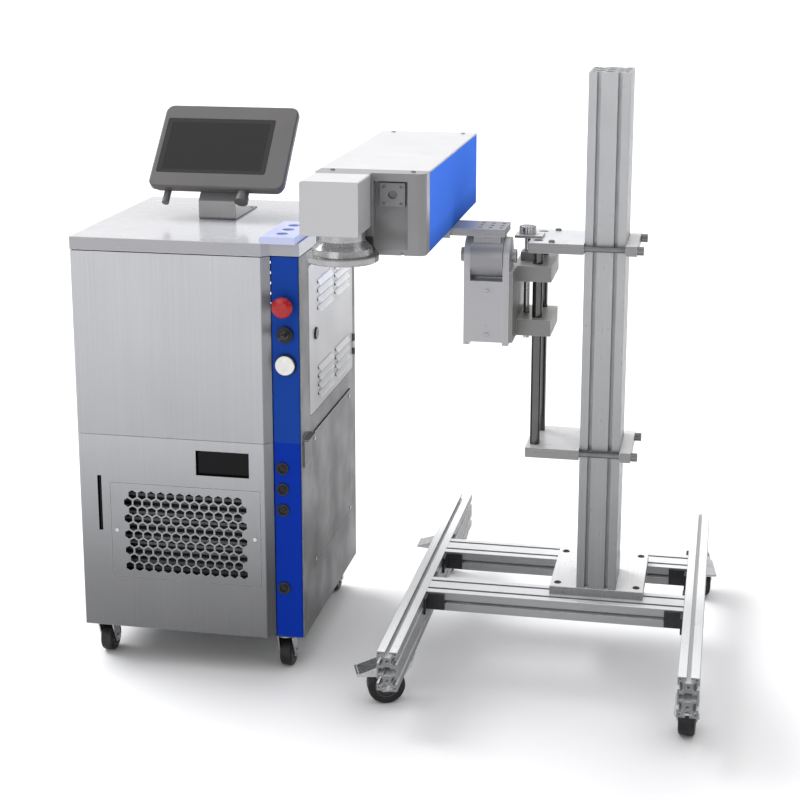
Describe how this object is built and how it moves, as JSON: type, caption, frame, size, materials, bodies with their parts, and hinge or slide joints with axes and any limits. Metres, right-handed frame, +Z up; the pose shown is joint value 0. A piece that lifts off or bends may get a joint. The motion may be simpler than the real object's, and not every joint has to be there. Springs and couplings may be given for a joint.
{
  "type": "laser coding machine",
  "caption": "Online laser coding machine: wheeled cabinet with touch screen, and a wheeled profile stand with a tilting, height-adjustable marking head.",
  "frame": {"origin": "on the floor, in the middle of the footprint of cabinet and stand together", "axes": "+Z up, +X from the cabinet towards the stand, +Y from front to back"},
  "size_m": [1.2964, 1.05, 1.239],
  "materials": {
    "frame_paint": "satin",
    "silver_panel": "satin metallic",
    "lid_white": "gloss",
    "blue_paint": "gloss",
    "rack_lavender": "satin",
    "window_dark": "gloss",
    "black_plastic": "matte",
    "module_plastic": "matte",
    "screw_steel": "brushed",
    "post_grey": "satin",
    "housing_taupe": "satin",
    "screen_black": "gloss",
    "estop_red": "gloss",
    "key_steel": "black nickel",
    "button_silver": "brushed",
    "bolt_black": "black oxide",
    "extrusion": "clear anodised",
    "plate_alu": "milled",
    "rod_steel": "polished",
    "carriage_taupe": "dark anodised",
    "head_white": "powder coat",
    "lens_alu": "satin",
    "fork_steel": "zinc plated",
    "tyre_black": "matte"
  },
  "bodies": {
    "cabinet": {"base_frame": "frame_paint", "left_panel": "silver_panel", "right_panel": "silver_panel", "rear_panel": "silver_panel", "front_panel_upper": "silver_panel", "front_panel_lower": "silver_panel", "vent_grille": "silver_panel", "service_cover": "silver_panel", "control_strip": "blue_paint", "top_lid": "lid_white", "cable_rack": "rack_lavender", "front_windows": "window_dark", "strip_fittings": "black_plastic", "inner_modules": "module_plastic", "cabinet_screws": "screw_steel", "screen_post": "post_grey", "screen_housing": "housing_taupe", "screen_glass": "screen_black"},
    "estop": {"estop_button": "estop_red"},
    "key_switch": {"key": "key_steel"},
    "start_switch": {"start_button": "button_silver"},
    "door": {"upper_door": "silver_panel"},
    "cam_lock": {"door_lock": "key_steel"},
    "fan": {"fan_rotor": "black_plastic"},
    "stand": {"left_rail": "extrusion", "right_rail": "extrusion", "crossbars": "extrusion", "base_plate": "plate_alu", "column": "extrusion", "stand_bolts": "bolt_black"},
    "mast": {"clamp_arms": "plate_alu", "clamp_bolts": "screw_steel", "guide_rods": "rod_steel"},
    "carriage": {"carriage": "carriage_taupe", "tilt_yoke": "carriage_taupe"},
    "lift_screw": {"lift_screw": "rod_steel"},
    "head": {"head_mount": "carriage_taupe", "head_shell": "head_white", "head_side_cover": "blue_paint", "lens": "lens_alu"},
    "cabinet_caster_front_left": {"cabinet_fork_front_left": "fork_steel"},
    "cabinet_wheel_front_left": {"cabinet_wheel_front_left": "tyre_black"},
    "cabinet_caster_front_right": {"cabinet_fork_front_right": "fork_steel"},
    "cabinet_wheel_front_right": {"cabinet_wheel_front_right": "tyre_black"},
    "cabinet_caster_rear_left": {"cabinet_fork_rear_left": "fork_steel"},
    "cabinet_wheel_rear_left": {"cabinet_wheel_rear_left": "tyre_black"},
    "cabinet_caster_rear_right": {"cabinet_fork_rear_right": "fork_steel"},
    "cabinet_wheel_rear_right": {"cabinet_wheel_rear_right": "tyre_black"},
    "stand_caster_front_left": {"stand_fork_front_left": "fork_steel"},
    "stand_wheel_front_left": {"stand_wheel_front_left": "tyre_black"},
    "brake_front_left": {"brake_pedal_front_left": "fork_steel"},
    "stand_caster_front_right": {"stand_fork_front_right": "fork_steel"},
    "stand_wheel_front_right": {"stand_wheel_front_right": "tyre_black"},
    "brake_front_right": {"brake_pedal_front_right": "fork_steel"},
    "stand_caster_rear_left": {"stand_fork_rear_left": "fork_steel"},
    "stand_wheel_rear_left": {"stand_wheel_rear_left": "tyre_black"},
    "brake_rear_left": {"brake_pedal_rear_left": "fork_steel"},
    "stand_caster_rear_right": {"stand_fork_rear_right": "fork_steel"},
    "stand_wheel_rear_right": {"stand_wheel_rear_right": "tyre_black"},
    "brake_rear_right": {"brake_pedal_rear_right": "fork_steel"}
  },
  "joints": [
    {"name": "estop_press", "type": "slide", "parent": "cabinet", "child": "estop", "axis": [0, 1, 0], "range_m": [0, 0.005]},
    {"name": "key_turn", "type": "hinge", "parent": "cabinet", "child": "key_switch", "pos_m": [-0.20919, -0.151, 0.722], "axis": [0, 1, 0], "range_deg": [0, 90]},
    {"name": "start_press", "type": "slide", "parent": "cabinet", "child": "start_switch", "axis": [0, 1, 0], "range_m": [0, 0.003], "stiffness_N_per_m": 1200, "springref_m": -0.001},
    {"name": "door_hinge", "type": "hinge", "parent": "cabinet", "child": "door", "pos_m": [-0.17499, 0.30675, 0.69], "axis": [0, 0, 1], "range_deg": [0, 110]},
    {"name": "lock_turn", "type": "hinge", "parent": "door", "child": "cam_lock", "pos_m": [-0.17819, -0.03, 0.697], "axis": [1, 0, 0], "range_deg": [0, 90]},
    {"name": "fan_spin", "type": "hinge", "parent": "cabinet", "child": "fan", "pos_m": [-0.42319, -0.075, 0.293], "axis": [0, 1, 0], "continuous": true},
    {"name": "stand_roll", "type": "slide", "parent": "cabinet", "child": "stand", "axis": [1, 0, 0], "range_m": [0, 0.8]},
    {"name": "mast_height", "type": "slide", "parent": "stand", "child": "mast", "axis": [0, 0, 1], "range_m": [-0.2, 0.3]},
    {"name": "carriage_lift", "type": "slide", "parent": "mast", "child": "carriage", "axis": [0, 0, 1], "range_m": [-0.1, 0.006]},
    {"name": "lift_screw_spin", "type": "hinge", "parent": "mast", "child": "lift_screw", "pos_m": [0.24981, 0.005, 0.9], "axis": [0, 0, 1], "continuous": true},
    {"name": "head_tilt", "type": "hinge", "parent": "carriage", "child": "head", "pos_m": [0.18681, -0.0895, 0.8855], "axis": [1, 0, 0], "range_deg": [-30, 90]},
    {"name": "cabinet_swivel_front_left", "type": "hinge", "parent": "cabinet", "child": "cabinet_caster_front_left", "pos_m": [-0.61619, -0.126, 0.08], "axis": [0, 0, 1], "continuous": true},
    {"name": "cabinet_roll_front_left", "type": "hinge", "parent": "cabinet_caster_front_left", "child": "cabinet_wheel_front_left", "pos_m": [-0.61619, -0.108, 0.03], "axis": [-1, 0, 0], "continuous": true},
    {"name": "cabinet_swivel_front_right", "type": "hinge", "parent": "cabinet", "child": "cabinet_caster_front_right", "pos_m": [-0.22319, -0.126, 0.08], "axis": [0, 0, 1], "continuous": true},
    {"name": "cabinet_roll_front_right", "type": "hinge", "parent": "cabinet_caster_front_right", "child": "cabinet_wheel_front_right", "pos_m": [-0.22319, -0.108, 0.03], "axis": [-1, 0, 0], "continuous": true},
    {"name": "cabinet_swivel_rear_left", "type": "hinge", "parent": "cabinet", "child": "cabinet_caster_rear_left", "pos_m": [-0.61619, 0.286, 0.08], "axis": [0, 0, 1], "continuous": true},
    {"name": "cabinet_roll_rear_left", "type": "hinge", "parent": "cabinet_caster_rear_left", "child": "cabinet_wheel_rear_left", "pos_m": [-0.61619, 0.304, 0.03], "axis": [-1, 0, 0], "continuous": true},
    {"name": "cabinet_swivel_rear_right", "type": "hinge", "parent": "cabinet", "child": "cabinet_caster_rear_right", "pos_m": [-0.22319, 0.286, 0.08], "axis": [0, 0, 1], "continuous": true},
    {"name": "cabinet_roll_rear_right", "type": "hinge", "parent": "cabinet_caster_rear_right", "child": "cabinet_wheel_rear_right", "pos_m": [-0.22319, 0.304, 0.03], "axis": [-1, 0, 0], "continuous": true},
    {"name": "stand_swivel_front_left", "type": "hinge", "parent": "stand", "child": "stand_caster_front_left", "pos_m": [0.04381, -0.224, 0.08], "axis": [0, 0, 1], "continuous": true},
    {"name": "stand_roll_front_left", "type": "hinge", "parent": "stand_caster_front_left", "child": "stand_wheel_front_left", "pos_m": [0.00999, -0.23631, 0.0375], "axis": [0.342, -0.9397, 0], "continuous": true},
    {"name": "brake_press_front_left", "type": "hinge", "parent": "stand_caster_front_left", "child": "brake_front_left", "pos_m": [0.00435, -0.23836, 0.074], "axis": [0.342, -0.9397, 0], "range_deg": [0, 9]},
    {"name": "stand_swivel_front_right", "type": "hinge", "parent": "stand", "child": "stand_caster_front_right", "pos_m": [0.60581, -0.224, 0.08], "axis": [0, 0, 1], "continuous": true},
    {"name": "stand_roll_front_right", "type": "hinge", "parent": "stand_caster_front_right", "child": "stand_wheel_front_right", "pos_m": [0.60456, -0.25998, 0.0375], "axis": [0.9994, -0.0349, 0], "continuous": true},
    {"name": "brake_press_front_right", "type": "hinge", "parent": "stand_caster_front_right", "child": "brake_front_right", "pos_m": [0.60435, -0.26597, 0.074], "axis": [0.9994, -0.0349, 0], "range_deg": [0, 9]},
    {"name": "stand_swivel_rear_left", "type": "hinge", "parent": "stand", "child": "stand_caster_rear_left", "pos_m": [0.04381, 0.459, 0.08], "axis": [0, 0, 1], "continuous": true},
    {"name": "stand_roll_rear_left", "type": "hinge", "parent": "stand_caster_rear_left", "child": "stand_wheel_rear_left", "pos_m": [0.00781, 0.459, 0.0375], "axis": [0, -1, 0], "continuous": true},
    {"name": "brake_press_rear_left", "type": "hinge", "parent": "stand_caster_rear_left", "child": "brake_rear_left", "pos_m": [0.00181, 0.459, 0.074], "axis": [0, -1, 0], "range_deg": [0, 9]},
    {"name": "stand_swivel_rear_right", "type": "hinge", "parent": "stand", "child": "stand_caster_rear_right", "pos_m": [0.60581, 0.474, 0.08], "axis": [0, 0, 1], "continuous": true},
    {"name": "stand_roll_rear_right", "type": "hinge", "parent": "stand_caster_rear_right", "child": "stand_wheel_rear_right", "pos_m": [0.6133, 0.43879, 0.0375], "axis": [0.9781, 0.2079, 0], "continuous": true},
    {"name": "brake_press_rear_right", "type": "hinge", "parent": "stand_caster_rear_right", "child": "brake_rear_right", "pos_m": [0.61455, 0.43292, 0.074], "axis": [0.9781, 0.2079, 0], "range_deg": [0, 9]}
  ],
  "couplings": [
    {"joint": "lift_screw_spin", "follows": "carriage_lift", "rad_per_m": 1570.8}
  ]
}
